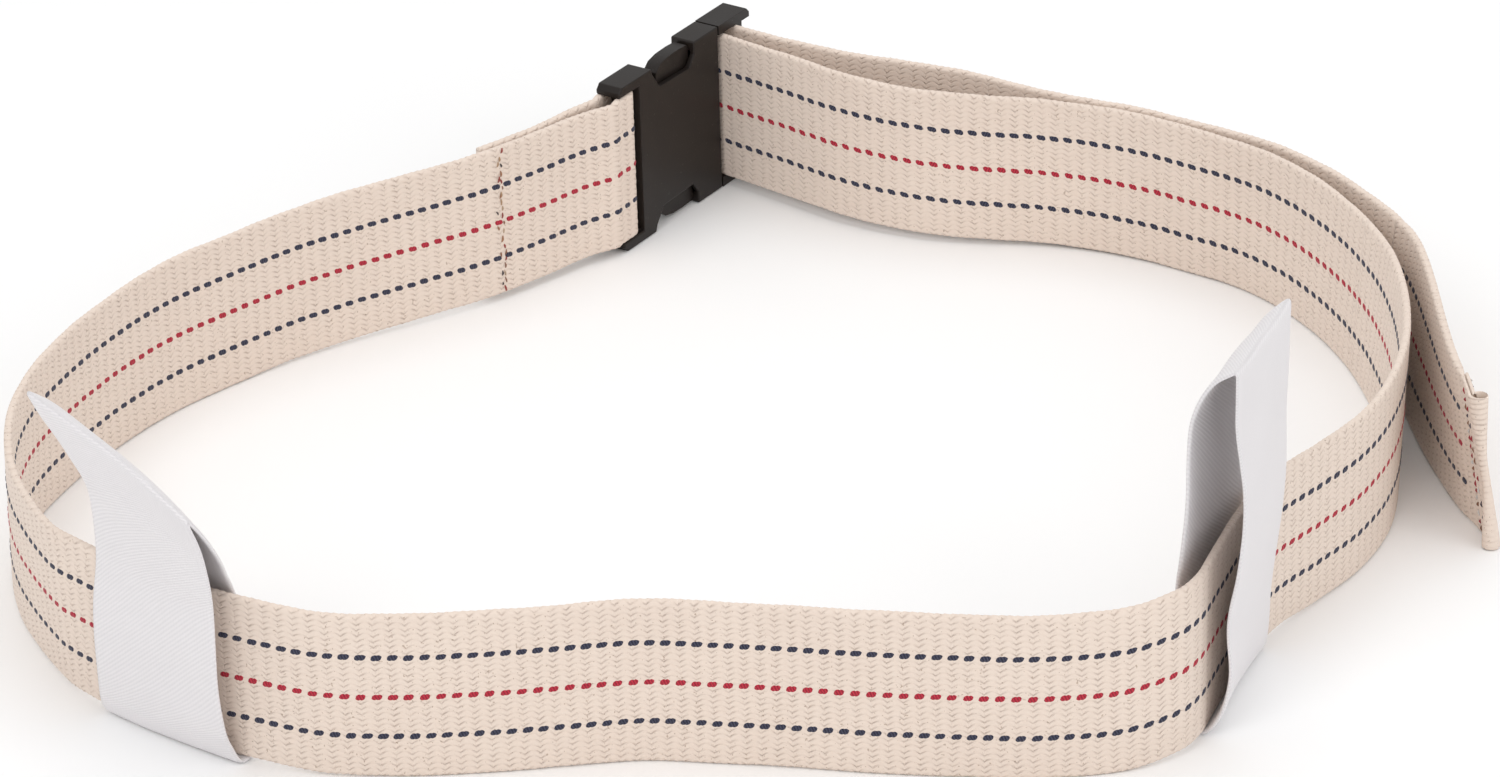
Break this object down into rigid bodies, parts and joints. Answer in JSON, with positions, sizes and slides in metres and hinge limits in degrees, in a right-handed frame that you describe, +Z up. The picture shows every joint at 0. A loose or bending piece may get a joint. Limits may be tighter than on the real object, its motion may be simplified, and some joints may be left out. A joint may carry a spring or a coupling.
{
  "type": "gait belt",
  "caption": "Flat cotton webbing waist belt with pinstripes, a side-release buckle, two white webbing hand loops and a hanging adjustable end.",
  "frame": {"origin": "middle of the belt's outline on the plane that its lower edge stands on", "axes": "+Z up across the webbing, +X along the belt's long side towards the hanging end, +Y towards the buckle"},
  "size_m": [0.4305, 0.3921, 0.1124],
  "materials": {
    "cotton_webbing": "matt woven cotton with dashed red and navy pinstripes",
    "white_webbing": "matt fine twill webbing",
    "acetal": "satin moulded plastic",
    "thread": "sewing thread"
  },
  "bodies": {
    "belt": {"buckle_socket": "acetal", "sewn_end_fold": "cotton_webbing", "sewn_end_outer_layer": "cotton_webbing", "sewn_end_stitching": "thread", "left_run": "cotton_webbing", "left_bend": "cotton_webbing", "front_left_corner": "cotton_webbing", "front_run": "cotton_webbing", "front_right_corner": "cotton_webbing", "right_bend": "cotton_webbing", "right_run": "cotton_webbing", "tail_run": "cotton_webbing", "left_handle_wrap": "white_webbing", "left_handle_stitching": "thread", "right_handle_wrap": "white_webbing", "right_handle_stitching": "thread"},
    "plug": {"plug_frame": "acetal", "adjuster_wrap": "cotton_webbing"},
    "latch_upper": {"latch_arm_upper": "acetal"},
    "latch_lower": {"latch_arm_lower": "acetal"},
    "free_end": {"tail_end": "cotton_webbing", "tail_hem": "cotton_webbing", "tail_hem_stitching": "thread"},
    "left_loop": {"left_handle_grip": "white_webbing"},
    "right_loop": {"right_handle_grip": "white_webbing"}
  },
  "joints": [
    {"name": "plug_slide", "type": "slide", "parent": "belt", "child": "plug", "axis": [0.5592, 0.829, 0], "range_m": [0, 0.038], "deforming": ["right_run", "tail_run", "latch_arm_upper", "latch_arm_lower"]},
    {"name": "latch_upper_squeeze", "type": "hinge", "parent": "plug", "child": "latch_upper", "pos_m": [-0.01036, 0.17594, 0.0485], "axis": [0.829, -0.5592, 0], "range_deg": [0, 15], "stiffness_Nm_per_rad": 2},
    {"name": "latch_lower_squeeze", "type": "hinge", "parent": "plug", "child": "latch_lower", "pos_m": [-0.01036, 0.17594, 0.0085], "axis": [-0.829, 0.5592, 0], "range_deg": [0, 15], "stiffness_Nm_per_rad": 2},
    {"name": "free_end_swing", "type": "hinge", "parent": "belt", "child": "free_end", "pos_m": [0.1956, 0.0356, 0.025], "axis": [0, 0, 1], "range_deg": [0, 40]},
    {"name": "left_loop_tilt", "type": "hinge", "parent": "belt", "child": "left_loop", "pos_m": [-0.158, -0.161, 0.0515], "axis": [0.7682, -0.6402, 0], "range_deg": [-30, 30]},
    {"name": "right_loop_tilt", "type": "hinge", "parent": "belt", "child": "right_loop", "pos_m": [0.131, -0.152, 0.0515], "axis": [0.41, 0.9121, 0], "range_deg": [-30, 30]}
  ],
  "couplings": [
    {"joint": "latch_lower_squeeze", "follows": "latch_upper_squeeze", "ratio": 1}
  ]
}
